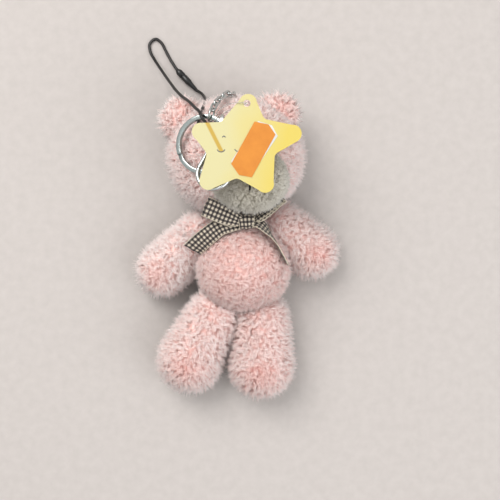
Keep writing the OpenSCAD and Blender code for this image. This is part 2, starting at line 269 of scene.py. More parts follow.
def bump(made, height, distance, strength=0.5):
    tree = made.node_tree
    bumps = node(tree, "ShaderNodeBump")
    bumps.inputs["Distance"].default_value = distance * MM
    bumps.inputs["Strength"].default_value = strength
    tree.links.new(height, bumps.inputs["Height"])
    tree.links.new(bumps.outputs["Normal"], tree.nodes["Principled BSDF"].inputs["Normal"])


def varied(made, scale, low, high):
    """Roughness that wanders between two values."""
    tree = made.node_tree
    spread = node(tree, "ShaderNodeMapRange")
    spread.inputs["To Min"].default_value = low
    spread.inputs["To Max"].default_value = high
    tree.links.new(noise(made, scale), spread.inputs["Value"])
    tree.links.new(spread.outputs["Result"], tree.nodes["Principled BSDF"].inputs["Roughness"])


def cloth_material(name, low, high):
    made = material(name, high, 0.9)
    grain = noise(made, 900)
    blend_colours(made, grain, low, high)
    bump(made, grain, 0.3)
    return made


def metal_material(name, colour, low, high):
    made = material(name, colour, low, Metallic=1.0)
    varied(made, 260, low, high)
    bump(made, noise(made, 1500), 0.01, 0.15)
    return made


def plastic_material(name, low, high, roughness, **sockets):
    made = material(name, high, roughness, **sockets)
    blend_colours(made, noise(made, 220), low, high)
    bump(made, noise(made, 1800), 0.02, 0.2)
    return made


def gingham_material():
    """Woven checks, counted along the strip's own length and width in millimetres."""
    cream, middle, dark = (0.56, 0.50, 0.39, 1), (0.10, 0.08, 0.07, 1), (0.008, 0.007, 0.007, 1)
    made = material("gingham", middle, 0.75, Sheen_Weight=0.15)
    tree = made.node_tree
    place = node(tree, "ShaderNodeUVMap", uv_map="UVMap")
    split = node(tree, "ShaderNodeSeparateXYZ")
    tree.links.new(place.outputs["UV"], split.inputs[0])
    across = math_node(tree, "MULTIPLY", split.outputs["X"], UV_SPAN)
    along = math_node(tree, "MULTIPLY", split.outputs["Y"], UV_SPAN)
    stripes = []
    for value in (across, along):
        part = math_node(tree, "FRACT", math_node(tree, "DIVIDE", value, 2 * CHECK))
        stripes.append(math_node(tree, "GREATER_THAN", part, 0.5))
    both = math_node(tree, "MULTIPLY", math_node(tree, "ADD", stripes[0], stripes[1]), 0.5)
    ramp = node(tree, "ShaderNodeValToRGB")
    ramp.color_ramp.interpolation = "CONSTANT"
    ramp.color_ramp.elements[0].color = cream
    ramp.color_ramp.elements[1].position = 0.3
    ramp.color_ramp.elements[1].color = middle
    last = ramp.color_ramp.elements.new(0.8)
    last.color = dark
    tree.links.new(both, ramp.inputs["Fac"])
    edge = math_node(tree, "GREATER_THAN", math_node(tree, "ABSOLUTE", across), RIBBON_WIDTH / 2 - SELVAGE)
    mix = node(tree, "ShaderNodeMix", data_type="RGBA")
    mix.inputs[MIX_TO].default_value = cream
    tree.links.new(edge, mix.inputs[0])
    tree.links.new(ramp.outputs["Color"], mix.inputs[MIX_FROM])
    tree.links.new(mix.outputs[MIX_OUT], tree.nodes["Principled BSDF"].inputs["Base Color"])
    weave = 24.0
    threads = math_node(tree, "SINE", math_node(tree, "MULTIPLY", across, weave))
    rows = math_node(tree, "SINE", math_node(tree, "MULTIPLY", along, weave))
    bump(made, math_node(tree, "MULTIPLY", threads, rows), 0.05, 0.6)
    return made


def cord_shadow_band(tree, x, y):
    """1 along a straight line down the tag's left point: a painted shadow of the cord that lies under the
    tag.
    """
    line_at, square = (-12.9, 55.4), (0.893, 0.45)
    right_end, low_end = -5.0, 42.6
    away = math_node(tree, "ADD",
                     math_node(tree, "MULTIPLY", math_node(tree, "ADD", x, -line_at[0]), square[0]),
                     math_node(tree, "MULTIPLY", math_node(tree, "SUBTRACT", y, line_at[1]), square[1]))
    near = node(tree, "ShaderNodeMapRange")
    near.inputs["From Min"].default_value = 1.1
    near.inputs["From Max"].default_value = 0.6
    tree.links.new(math_node(tree, "ABSOLUTE", away), near.inputs["Value"])
    above = math_node(tree, "GREATER_THAN", y, low_end)
    left = math_node(tree, "LESS_THAN", x, right_end)
    return math_node(tree, "MULTIPLY", near.outputs["Result"], math_node(tree, "MULTIPLY", above, left))


def star_material():
    """Soft plastic sheet, pale on its left and deeper on its right, with a painted shadow of the cord."""
    pale, deep = tone(198, 191, 142), tone(204, 184, 84)
    made = material("star_plastic", pale, 0.3, Specular_IOR_Level=0.5, Coat_Weight=0.3)
    tree = made.node_tree
    place = node(tree, "ShaderNodeTexCoord")
    split = node(tree, "ShaderNodeSeparateXYZ")
    tree.links.new(place.outputs["Object"], split.inputs[0])
    x = math_node(tree, "MULTIPLY", split.outputs["X"], 1 / MM)
    y = math_node(tree, "MULTIPLY", split.outputs["Y"], 1 / MM)
    wander = math_node(tree, "MULTIPLY", math_node(tree, "SUBTRACT", noise(made, 60), 0.5), 18.0)
    slope = math_node(tree, "SUBTRACT", x, math_node(tree, "MULTIPLY", y, 0.15))
    turn = math_node(tree, "ADD", slope, wander)
    spread = node(tree, "ShaderNodeMapRange")
    spread.inputs["From Min"].default_value = -14.0
    spread.inputs["From Max"].default_value = 16.0
    tree.links.new(turn, spread.inputs["Value"])
    ramp = node(tree, "ShaderNodeValToRGB")
    ramp.color_ramp.elements[0].color = pale
    ramp.color_ramp.elements[1].color = deep
    tree.links.new(spread.outputs["Result"], ramp.inputs["Fac"])
    mix = node(tree, "ShaderNodeMix", data_type="RGBA")
    tree.links.new(cord_shadow_band(tree, x, y), mix.inputs[0])
    tree.links.new(ramp.outputs["Color"], mix.inputs[MIX_FROM])
    # The colour of the painted shadow of the cord under the tag
    mix.inputs[MIX_TO].default_value = tone(182, 150, 52)
    tree.links.new(mix.outputs[MIX_OUT], tree.nodes["Principled BSDF"].inputs["Base Color"])
    bump(made, noise(made, 90, 2.0), 0.15, 0.35)
    return made


def fur_materials(name, tones):
    """Two materials, stem and tip, for each tone of the fur."""
    made = []
    for number, levels in enumerate(tones):
        for part, colour in zip(("stem", "tip"), levels):
            made.append(material(f"{name}_{number}_{part}", tone(*colour), 0.8,
                                 Sheen_Weight=0.3, Sheen_Roughness=0.5, Specular_IOR_Level=0.25))
    return made


PINK_TONES = [
    ((250, 216, 209), (255, 240, 236)),
    ((248, 202, 194), (255, 230, 224)),
    ((246, 193, 184), (254, 222, 216)),
    ((243, 178, 168), (250, 209, 201)),
]
MUZZLE_TONES = [
    ((206, 200, 184), (226, 221, 209)),
    ((197, 190, 173), (218, 212, 199)),
    ((187, 180, 162), (208, 202, 188)),
    ((174, 166, 148), (197, 190, 174)),
]
M = {
    "pink": fur_materials("pink_fur", PINK_TONES),
    "muzzle": fur_materials("muzzle_fur", MUZZLE_TONES),
    "pink_cloth": cloth_material("pink_cloth", tone(244, 190, 180), tone(250, 212, 204)),
    "muzzle_cloth": cloth_material("muzzle_cloth", tone(176, 168, 151), tone(198, 190, 174)),
    "gingham": gingham_material(),
    "cord": plastic_material("cord", tone(14, 13, 12), tone(34, 31, 29), 0.42),
    "lock": plastic_material("lock_plastic", tone(16, 17, 17), tone(36, 37, 37), 0.3),
    "black": plastic_material("black_plastic", tone(12, 12, 13), tone(24, 24, 26), 0.12),
    "washer": plastic_material("washer_plastic", tone(170, 170, 166), tone(190, 190, 186), 0.4),
    "clear": plastic_material("clear_plastic", tone(232, 230, 226), tone(246, 244, 240), 0.15,
                              Transmission_Weight=0.85),
    "thread": cloth_material("thread", tone(12, 11, 11), tone(34, 31, 30)),
    "metal": metal_material("metal", tone(192, 196, 195), 0.1, 0.22),
    "ring_metal": metal_material("ring_metal", tone(168, 177, 175), 0.08, 0.2),
    "star": star_material(),
    "orange": plastic_material("orange_paper", tone(194, 118, 28), tone(203, 128, 35), 0.6),
    "white": plastic_material("white_paper", tone(190, 191, 187), tone(206, 207, 203), 0.6),
    "print": plastic_material("print", tone(70, 72, 78), tone(96, 98, 102), 0.5),
    "floor": plastic_material("floor", tone(180, 174, 170), tone(186, 180, 176), 0.85),
}


# ---------------------------------------------------------------- camera and light

def add_camera():
    data = bpy.data.cameras.new("camera")
    data.lens = CAMERA_LENS
    data.sensor_width = 36
    data.clip_start = 0.01
    camera = bpy.data.objects.new("camera", data)
    camera.location = Vector(CAMERA_AT) * MM
    bpy.context.scene.collection.objects.link(camera)
    bpy.context.scene.camera = camera


def add_light(name, place, size, power, colour):
    data = bpy.data.lights.new(name, "AREA")
    data.shape = "DISK"
    data.size = size
    data.energy = power
    data.color = colour
    light = bpy.data.objects.new(name, data)
    light.location = place
    light.rotation_euler = (-Vector(place)).to_track_quat("-Z", "Y").to_euler()
    bpy.context.scene.collection.objects.link(light)


def add_world():
    world = bpy.data.worlds.new("studio")
    world.use_nodes = True
    tree = world.node_tree
    place = node(tree, "ShaderNodeTexCoord")
    split = node(tree, "ShaderNodeSeparateXYZ")
    ramp = node(tree, "ShaderNodeValToRGB")
    ramp.color_ramp.elements[0].position = 0.0
    ramp.color_ramp.elements[0].color = (0.10, 0.10, 0.10, 1)
    ramp.color_ramp.elements[1].position = 1.0
    ramp.color_ramp.elements[1].color = (1.0, 1.0, 1.0, 1)
    level = ramp.color_ramp.elements.new(0.5)
    level.color = (0.28, 0.27, 0.26, 1)
    up = math_node(tree, "ADD", math_node(tree, "MULTIPLY", split.outputs["Z"], 0.5), 0.5)
    tree.links.new(place.outputs["Generated"], split.inputs[0])
    tree.links.new(up, ramp.inputs["Fac"])
    tree.links.new(ramp.outputs["Color"], tree.nodes["Background"].inputs["Color"])
    tree.nodes["Background"].inputs["Strength"].default_value = 1.05
    bpy.context.scene.world = world


def add_floor():
    half = FLOOR_SIZE / 2 / MM
    floor = mesh_object("floor", [(-half, -half, 0), (half, -half, 0), (half, half, 0), (-half, half, 0)],
                        [(0, 1, 2, 3)], [M["floor"]], smooth=False)


add_camera()
add_world()
add_light("key", (-0.45, 0.55, 0.9), 0.8, 9.6, (1.0, 0.97, 0.95))
add_light("fill", (0.7, -0.4, 0.6), 0.9, 4.2, (0.97, 0.98, 1.0))
bpy.context.scene.view_settings.view_transform = "Standard"
add_floor()


# ---------------------------------------------------------------- cord and its lock

def build_cord():
    route = smooth_route(CORD_ROUTE, 1.0)
    data = bpy.data.curves.new("hang_cord_strand", "CURVE")
    data.dimensions = "3D"
    line = data.splines.new("POLY")
    line.points.add(len(route) - 1)
    for point, place in zip(line.points, route):
        point.co = (*(place * MM), 1)
    data.bevel_depth = CORD_WIRE / 2 * MM
    data.bevel_resolution = 4
    data.use_fill_caps = True
    data.materials.append(M["cord"])
    cord = bpy.data.objects.new("hang_cord_strand", data)
    bpy.context.scene.collection.objects.link(cord)
    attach(cord, "head")
    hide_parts("hang_cord")
    return cord, route


def build_lock():
    """The snap tube: a shoulder, a straight part with two grooves and a thin nose."""
    start, end = np.array(CORD_ROUTE[-1]), np.array(CORD_ROUTE[0])
    length = np.linalg.norm(end - start)
    profile = [(0, 0.85), (0.3, 1.05), (1.2, 1.6), (1.9, 1.7), (4.2, 1.7), (4.4, 1.5), (4.8, 1.5), (5.0, 1.7),
               (8.8, 1.65), (9.4, 1.4), (10.6, 1.2), (length - 0.3, 0.95), (length, 0.8)]
    ahead = (end - start) / length
    route = np.array([start + ahead * place for place, _ in profile])
    sections = np.array([disc(radius, 24) for _, radius in profile])
    up = np.repeat([unit(np.cross(ahead, (0, 0, 1.0)))], len(route), 0)
    lock = sweep("cord_snap", route, up, sections, M["lock"])
    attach(lock, "head")
    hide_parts("cord_lock")
    return lock


cord, cord_line = build_cord()
lock = build_lock()


# ---------------------------------------------------------------- ribbon

# Points and clearances that hold the fur down; the cord's last stretch lies on the table, off the toy
TABLE_POINTS = 22
PRESS = [(cord_line[:-TABLE_POINTS], CORD_CLEAR)]


def strip(name, points, sides, widths, closed=False, crown=0.35):
    """A band of ribbon along the points; sides are its directions across, widths its widths."""
    points, sides = np.asarray(points, float), unit(np.asarray(sides, float))
    widths = np.asarray(widths, float)
    if closed:
        route, across, wide = points, sides, widths
        ahead = unit(np.roll(route, -1, 0) - np.roll(route, 1, 0))
    else:
        route = smooth_route(points, 0.8)
        old = np.linspace(0, 1, len(points))
        new = np.linspace(0, 1, len(route))
        across = unit(np.stack([np.interp(new, old, sides[:, k]) for k in range(3)], axis=1))
        wide = np.interp(new, old, widths)
        ahead = unit(np.gradient(route, axis=0))
    out = unit(np.cross(across, ahead))
    steps = 13
    place = np.linspace(-1, 1, steps)
    flat = route[:, None] + across[:, None] * (place[None, :, None] * wide[:, None, None] / 2)
    ripple = crown * (1 - place ** 2) + 0.12 * np.cos(place * 7)
    rows = []
    for side in (1, -1):
        rows.append(flat + (ripple[None, :, None] * out[:, None] + side * RIBBON_THICK / 2 * out[:, None]))
    count = len(route)
    verts = np.concatenate([rows[0], rows[1][:, ::-1]], axis=1)
    ring = 2 * steps
    faces = []
    for i in range(count if closed else count - 1):
        for k in range(ring):
            faces.append((i * ring + k, (i + 1) % count * ring + k,
                          (i + 1) % count * ring + (k + 1) % ring, i * ring + (k + 1) % ring))
    if not closed:
        faces.append(list(range(ring)))
        faces.append([(count - 1) * ring + k for k in reversed(range(ring))])
    obj = mesh_object(name, verts.reshape(-1, 3), faces, [M["gingham"]])
    along = np.concatenate([[0], np.cumsum(np.linalg.norm(np.diff(route, axis=0), axis=1))])
    length = along[-1] + (np.linalg.norm(route[0] - route[-1]) if closed else 0)
    u = np.concatenate([place, place[::-1]]) * RIBBON_WIDTH / 2
    layer = obj.data.uv_layers.new(name="UVMap")
    uv = np.zeros((len(obj.data.loops), 2), np.float32)
    where = np.zeros(len(obj.data.loops), np.int32)
    obj.data.loops.foreach_get("vertex_index", where)
    uv[:, 0] = u[where % ring] / UV_SPAN
    uv[:, 1] = along[where // ring] / UV_SPAN
    layer.data.foreach_set("uv", uv.ravel())
    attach(obj, "torso")
    few = np.linspace(-1, 1, 6)
    spread = route[:, None] + across[:, None] * (few[None, :, None] * wide[:, None, None] / 2)
    PRESS.append((spread[::2].reshape(-1, 3), RIBBON_CLEAR))
    return obj, length


def declare_ribbon(made, node_name):
    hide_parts(node_name)


def neck_band():
    count, width = 72, 7.8
    angles = np.linspace(0, 2 * math.pi, count, endpoint=False)
    points = NECK_MIDDLE + NECK_REACH * np.stack([np.cos(angles), 0 * angles, np.sin(angles)], axis=1)
    return strip("neck_band", points, [(0, 1, 0)] * count, [width] * count, closed=True, crown=0.1)


def knot_band():
    count = 48
    half_height, half_depth = 3.2, 3.3
    angles = np.linspace(0, 2 * math.pi, count, endpoint=False)
    lean = math.radians(4)
    high = np.array([-math.sin(lean), math.cos(lean), 0])
    points = (np.array(KNOT_MIDDLE) + np.outer(half_height * np.cos(angles), high)
              + np.outer(half_depth * np.sin(angles), (0, 0, 1)))
    across = (-math.cos(lean), -math.sin(lean), 0)
    pinch = 7.6 + 0.5 * np.sin(angles * 2)
    return strip("knot_band", points, [across] * count, pinch, closed=True, crown=0.5)


def loop_band(name, start, end, side, lift, widths):
    """Out along the top, round the fold and back underneath."""
    start, end = np.array(start, float), np.array(end, float)
    along = unit(end - start)
    side = unit(np.array(side, float) - along * (np.array(side) @ along))
    up = np.cross(along, side)
    up = up if up[2] > 0 else -up
    path = []
    for t in (0, 0.12, 0.35, 0.65, 0.88):
        rise = 0.35 + 0.65 * math.sin(math.pi * min(t + 0.12, 0.9))
        path.append(start + (end - start) * t + up * lift * rise)
    for angle in (60, 0, -60):
        a = math.radians(angle)
        path.append(end + along * lift * math.cos(a) * 0.5 + up * lift * math.sin(a) * 0.9)
    for t in (0.88, 0.65, 0.35, 0.0):
        path.append(start + (end - start) * t - up * lift * (0.3 + 0.5 * math.sin(math.pi * t)))
    narrow, wider, nearly, full = widths
    wide = [narrow, wider, nearly] + [full] * 7 + [nearly, narrow]
    return strip(name, path, [side] * len(path), wide, crown=0.45)


left_loop = loop_band("loop_band_left", (1.6, 11.9, 37.2), (-14.2, 18.6, 38.6), (0.5, 0.86, 0.05), 1.25,
                      (5.4, 7.2, 9.2, 9.6))
right_loop = loop_band("loop_band_right", (8.6, 13.0, 36.6), (21.2, 23.6, 38.2), (-0.52, 0.6, -0.6), 1.1,
                       (5.6, 7.0, 8.2, 8.0))
left_tail = strip("tail_band_left", [(1, 11, 35.6), (-4, 10.2, 35.4), (-8.6, 8.8, 34.6), (-15, 4, 32.4),
                                     (-21.6, -1.8, 28.6)],
                  [(-0.35, 0.94, 0), (-0.4, 0.92, 0), (-0.62, 0.78, 0), (-0.68, 0.73, 0.1),
                   (-0.87, 0.49, 0.12)],
                  [6.4, 8, 9, 9.4, 9.8])
right_tail = strip("tail_band_right", [(8.4, 11.8, 36.4), (12.2, 10, 36.8), (15.8, 6, 36), (19.2, 1.6, 34.6),
                                       (22.2, -3.6, 33.2), (25.2, -9.2, 31.6)],
                   [(0.4, 0.62, -0.6), (0.34, 0.44, -0.83), (0.1, 0.12, -0.98), (0.03, 0.02, -0.99),
                    (0.02, 0.0, -0.99), (0.06, 0.0, -0.99)],
                   [6.2, 7.6, 8.2, 8.2, 8.2, 8.2])
declare_ribbon(neck_band(), "neck_ribbon")
declare_ribbon(knot_band(), "bow_knot")
declare_ribbon(left_loop, "bow_loop_left")
declare_ribbon(right_loop, "bow_loop_right")
declare_ribbon(left_tail, "ribbon_tail_left")
declare_ribbon(right_tail, "ribbon_tail_right")


# ---------------------------------------------------------------- plush shapes

class Ball:
    """An ellipsoid."""

    def __init__(self, centre, radii):
        self.centre, self.radii = np.array(centre, float), np.array(radii, float)

    def far(self, points):
        near = (points - self.centre) / self.radii
        reach = np.linalg.norm(near, axis=-1)
        return reach * (reach - 1) / np.maximum(np.linalg.norm(near / self.radii, axis=-1), 1e-9)


class Limb:
    """Two balls and the cone between them."""

    def __init__(self, a, ra, b, rb):
        self.a, self.b, self.ra, self.rb = np.array(a, float), np.array(b, float), ra, rb
        self.centre = (self.a + self.b) / 2

    def far(self, points):
        along = self.b - self.a
        square = along @ along
        taper = self.ra - self.rb
        rest = square - taper * taper
        away = points - self.a
        y = away @ along
        z = y - square
        x2 = ((away * square - along * y[..., None]) ** 2).sum(-1)
        k = np.sign(taper) * taper * taper * x2
        side = (np.sqrt(x2 * rest / square) + y * taper) / square - self.ra
        top = np.sqrt(x2 + z * z * square) / square - self.rb
        foot = np.sqrt(x2 + y * y * square) / square - self.ra
        out = np.where(np.sign(z) * rest * z * z * square > k, top, side)
        return np.where(np.sign(y) * rest * y * y * square < k, foot, out)


class Union:
    """Two shapes with a soft crease between them."""

    def __init__(self, first, second, soft):
        self.first, self.second, self.soft = first, second, soft
        self.centre = first.centre

    def far(self, points):
        a, b = self.first.far(points), self.second.far(points)
        h = np.clip(0.5 + 0.5 * (b - a) / self.soft, 0, 1)
        return b * (1 - h) + a * h - self.soft * h * (1 - h)


def outward(shape, points):
    """The directions square to the shape's surface at the points."""
    step = 0.05
    slope = [shape.far(points + step * axis) - shape.far(points - step * axis) for axis in np.eye(3)]
    return unit(np.stack(slope, axis=-1))


def march(shape, directions, depth):
    """The points where rays from the shape's middle meet its surface, depth below the outside."""
    nearest, farthest, halvings = 0.5, 90.0, 22
    low = np.full(len(directions), nearest)
    high = np.full(len(directions), farthest)
    for _ in range(halvings):
        middle = (low + high) / 2
        inside = shape.far(shape.centre + directions * middle[:, None]) < -depth
        low = np.where(inside, middle, low)
        high = np.where(inside, high, middle)
    return shape.centre + directions * low[:, None]


def spiral(count):
    """Directions spread evenly over a ball."""
    k = np.arange(count) + 0.5
    z = 1 - 2 * k / count
    turn = k * math.pi * (1 + math.sqrt(5))
    ring = np.sqrt(1 - z * z)
    return np.stack([ring * np.cos(turn), ring * np.sin(turn), z], axis=1)


def area_weight(shape, points):
    """How much surface each point stands for, by the solid angle that it fills."""
    reach = points - shape.centre
    facing = np.maximum((outward(shape, points) * unit(reach)).sum(1), 0.15)
    return (reach ** 2).sum(1) / facing


def scatter(shape, depth, density):
    """Points spread evenly by area over the shape."""
    trial = march(shape, spiral(1500), depth)
    count = int(density * 4 * math.pi * area_weight(shape, trial).max() * 1.02)
    points = march(shape, spiral(count), depth)
    return points[rng.random(count) < density * 4 * math.pi * area_weight(shape, points) / count]


def skin_mesh(name, shape, depth, cloth):
    """The cloth under the pile, closed and flattened where it rests on the table."""
    rows, columns = 60, 96
    points = [(0, 0, 1)]
    for i in range(1, rows):
        polar = math.pi * i / rows
        for k in range(columns):
            turn = 2 * math.pi * k / columns
            ring = math.sin(polar)
            points.append((ring * math.cos(turn), ring * math.sin(turn), math.cos(polar)))
    points.append((0, 0, -1))
    faces = [(0, 1 + k, 1 + (k + 1) % columns) for k in range(columns)]
    for i in range(rows - 2):
        for k in range(columns):
            a, b = 1 + i * columns + k, 1 + i * columns + (k + 1) % columns
            faces.append((a, a + columns, b + columns, b))
    last, start = len(points) - 1, 1 + (rows - 2) * columns
    faces += [(start + k, last, start + (k + 1) % columns) for k in range(columns)]
    verts = march(shape, np.array(points), depth)
    verts[:, 2] = np.maximum(verts[:, 2], TABLE_GAP)
    return mesh_object(name, verts, faces, [cloth])


# ---------------------------------------------------------------- fur

def hold_down(points):
    """Moves points out of the pieces that press on the fur, and down rather than up."""
    batch, sink = 4000, 0.3
    for obstacle, clear in PRESS:
        low, high = obstacle.min(0) - clear, obstacle.max(0) + clear
        near = np.where(((points > low) & (points < high)).all(1))[0]
        for chunk in np.array_split(near, max(1, len(near) // batch)):
            if not len(chunk):
                continue
            apart = points[chunk, None] - obstacle[None]
            distance = np.linalg.norm(apart, axis=2)
            closest = distance.argmin(1)
            pick = np.arange(len(chunk))
            gap, push = distance[pick, closest], apart[pick, closest]
            push[:, 2] = -np.abs(push[:, 2]) - sink
            move = gap < clear
            points[chunk[move]] += unit(push[move]) * (clear - gap[move])[:, None]
    return points


def fur_object(name, levels, up, side, widths, tones, materials):
    """Three-sided hairs through three levels of points: a stem in one colour, a pointed tip in another."""
    count = len(tones)
    hair_points = 7
    ahead = unit(levels[:, 2] - levels[:, 0])
    other = np.cross(ahead, side)
    verts = np.zeros((count, hair_points, 3))
    for k in range(2):
        for corner in range(3):
            turn = 2 * math.pi * corner / 3
            reach = side * math.cos(turn) + other * math.sin(turn)
            verts[:, 3 * k + corner] = levels[:, k] + reach * widths[:, k, None]
    verts[:, 6] = levels[:, 2]
    verts[..., 2] = np.maximum(verts[..., 2], TABLE_GAP)
    # Three four-sided faces for the stem, then three three-sided ones for the tip
    corners = np.array([0, 1, 4, 3, 1, 2, 5, 4, 2, 0, 3, 5, 3, 4, 6, 4, 5, 6, 5, 3, 6])
    face_starts = np.array([0, 4, 8, 12, 15, 18])
    face_parts = np.array([0, 0, 0, 1, 1, 1])
    loops = (np.arange(count)[:, None] * hair_points + corners).ravel()
    starts = (np.arange(count)[:, None] * len(corners) + face_starts).ravel()
    parts = tones[:, None] * 2 + face_parts
    mesh = bpy.data.meshes.new(name)
    mesh.vertices.add(count * hair_points)
    mesh.loops.add(count * len(corners))
    mesh.polygons.add(count * len(face_starts))
    mesh.vertices.foreach_set("co", (verts * MM).astype(np.float32).ravel())
    mesh.loops.foreach_set("vertex_index", loops.astype(np.int32))
    mesh.polygons.foreach_set("loop_start", starts.astype(np.int32))
    mesh.polygons.foreach_set("material_index", parts.astype(np.int32).ravel())
    for made in materials:
        mesh.materials.append(made)
    mesh.update(calc_edges=True)
    mesh.shade_smooth()
    mesh.normals_split_custom_set_from_vertices(np.repeat(up, hair_points, axis=0))
    obj = bpy.data.objects.new(name, mesh)
    bpy.context.scene.collection.objects.link(obj)
    return obj


def tuft_tips(roots, normal, facing, flow, pile, lean, stray_share):
    """Where each tuft points to: out from the cloth, leaned over the way the fur lies."""
    lie = flow(roots)
    lie = lie - normal * (lie * normal).sum(1, keepdims=True)
    strength = np.minimum(np.linalg.norm(lie, axis=1, keepdims=True), 1)
    stray = rng.normal(size=roots.shape)
    stray -= normal * (stray * normal).sum(1, keepdims=True)
    lean_way = unit(unit(lie) * strength * 0.8 + stray_share * unit(stray))
    # Round its edge the fur is longer and stands more upright
    tall = pile * rng.uniform(0.82, 1.15, (len(roots), 1)) * (1.45 - 0.45 * facing)
    slant = lean * rng.uniform(0.7, 1.25, (len(roots), 1)) * (0.3 + 0.8 * facing)
    return roots + (normal + lean_way * slant) / np.sqrt(1 + slant ** 2) * tall


def hair_levels(root, end, lift, pile):
    """Three levels of each hair on a curve that rises from the root and bends over to the end."""
    bend = root + lift * pile * 0.5 + (end - root) * 0.12
    bend = hold_down(bend)
    end = hold_down(end)
    curve = [(1 - t) ** 2 * root + 2 * t * (1 - t) * bend + t * t * end for t in (0, 0.55, 1)]
    return np.stack(curve, axis=1), unit(end - root)


def grow(skin, shape, flow, warmth, materials, depth, pile, strands, spacing, keep=None, lean=0.75,
         width=0.21, clump=0.42, stray_share=0.8, slot="pink_fur"):
    """Fur in tufts on a shape. flow gives the way it lies, warmth 0 to 1 how deep its colour is."""
    roots = scatter(shape, depth, 1 / spacing ** 2)
    if keep is not None:
        roots = roots[keep(roots)]
    normal = outward(shape, roots)
    facing = np.clip(normal[:, 2:], 0, 1)      # 1 where the fur faces up, 0 round its edge
    tip = tuft_tips(roots, normal, facing, flow, pile, lean, stray_share)
    # Lower warmth, so paler fur, where the fur faces sideways or down: a painted sheen round the edge
    warm = warmth(roots) + rng.normal(size=len(roots)) * 0.12 - 0.2 * (1 - facing[:, 0])

    # Each hair starts somewhere in its tuft and reaches for the tuft's tip
    owner = np.repeat(np.arange(len(roots)), strands)
    away = rng.normal(size=(len(owner), 3))
    away -= normal[owner] * (away * normal[owner]).sum(1, keepdims=True)
    away = unit(away) * np.sqrt(rng.random((len(owner), 1))) * spacing * 0.85
    root = roots[owner] + away
    lift = outward(shape, root)
    root -= lift * (shape.far(root) + depth)[:, None]
    wild = (rng.random((len(owner), 1)) < 0.15) * 0.7
    gather = clump + 0.38 * (1 - facing[owner])
    reach = tip[owner] + away * (1 - gather + wild) + rng.normal(size=root.shape) * 0.2
    end = root + (reach - root) * rng.uniform(0.6, 1.12, (len(owner), 1))
    levels, ahead = hair_levels(root, end, lift, pile)

    side = np.cross(ahead, lift) + 0.25 * rng.normal(size=root.shape)
    side = unit(side - ahead * (side * ahead).sum(1, keepdims=True))
    up = unit(lift + ahead * 0.3 + (0, 0, 0.2) + 0.12 * rng.normal(size=root.shape))
    widths = width / 2 * np.array([1, 0.95]) * rng.uniform(0.8, 1.2, (len(owner), 1))
    deepest = len(materials) // 2 - 1
    shade = np.floor(warm[owner] * (deepest + 1) + rng.normal(size=len(owner)) * 0.45)
    tones = np.clip(shade, 0, deepest).astype(int)
    pieces = max(1, math.ceil(len(owner) / PIECE_HAIRS))
    for number, part in enumerate(np.array_split(np.arange(len(owner)), pieces)):
        fur = fur_object(f"{skin.name}_fur_{number + 1}", levels[part], up[part], side[part], widths[part],
                         tones[part], materials)
        fur.parent = skin


def plush(name, body, shape, nodes, cloth, depth):
    """A part's cloth, which stands for its cover and its filling."""
    skin = skin_mesh(name, shape, depth, cloth)
    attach(skin, body)
    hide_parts(*nodes)
    return skin


def from_box(node_name):
    low, high = box_mm(node_name)
    return Ball((low + high) / 2, (high - low) / 2)


def limb_from(joint_name, cover, body_middle):
    """A limb's two balls, with the one at the body larger and pushed under the body's fur."""
    low, high = box_mm(cover)
    a = np.array(JOINTS[joint_name]["pos_m"]) / MM
    big = (high[2] - low[2]) / 2
    outer_left = abs(low[0] - a[0]) > abs(high[0] - a[0])
    b = np.array([low[0] + big if outer_left else high[0] - big, low[1] + big, (high[2] + low[2]) / 2])
    small = high[1] - a[1]
    inward = unit((body_middle - a) * (1, 1, 0))
    return Limb(a + inward * 3.2, small + 2.6, b, big)


def patch(points, centre, radius):
    """1 at the middle of a round patch, 0 outside it."""
    return np.clip(1.2 - np.linalg.norm(points - np.array(centre), axis=1) / radius, 0, 1)


def parting(points, centre, way):
    """Directions away from a line through centre along way."""
    away = points - np.array(centre)
    way = unit(np.array(way, float))
    return unit(away - (away @ way)[:, None] * way)


def build_head(head, muzzle):
    fur = FUR["head"]
    skin = plush("head_skin", "head", head, ["head_cover", "head_filling"], M["pink_cloth"], fur["depth"])
    grow(skin, head,
         lambda p: unit((p - head.centre) * (1, 1, 0.2) + (0, -6, 0)),
         lambda p: 0.34 + 0.25 * np.clip((20 - p[:, 2]) / 30, 0, 1), M["pink"],
         keep=lambda p: muzzle.far(p) > -3, **fur)


def build_muzzle(head, muzzle):
    fur = FUR["muzzle"]
    skin = plush("muzzle_skin", "head", muzzle, ["muzzle_cover"], M["muzzle_cloth"], fur["depth"])
    grow(skin, muzzle,
         lambda p: unit((p - muzzle.centre) * (1, 1, 0.3)) * 0.8,
         lambda p: 0.55 - 0.5 * np.clip((p[:, 0] - 8) / 14, 0, 1), M["muzzle"],
         keep=lambda p: head.far(p) > -2.5, width=0.26, lean=0.55, slot="muzzle_fur", **fur)


def build_ear(side, head):
    fur = FUR["ear"]
    ear = from_box(f"ear_{side}")
    inner = ear.centre + (2, -1, 4)
    skin = plush(f"ear_skin_{side}", "head", ear, [f"ear_{side}"], M["pink_cloth"], fur["depth"])
    grow(skin, ear,
         lambda p: unit((p - ear.centre) * (1, 1, 0.15)),
         lambda p: 0.34 + 0.36 * patch(p, inner, 8.5), M["pink"],
         keep=lambda p: head.far(p) > -2, **fur)


def build_torso(torso, head):
    fur = FUR["torso"]
    skin = plush("torso_skin", "torso", torso, ["torso_cover", "torso_filling"], M["pink_cloth"],
                 fur["depth"])
    grow(skin, torso,
         lambda p: unit((p - torso.centre) * (0.6, 0.4, 0) + (0, -14, 0)),
         lambda p: 0.66 - 0.2 * np.clip(p[:, 1] / 12, 0, 1), M["pink"],
         keep=lambda p: head.far(p) > -3, lean=1.5, stray_share=1.1, width=0.17, **fur)


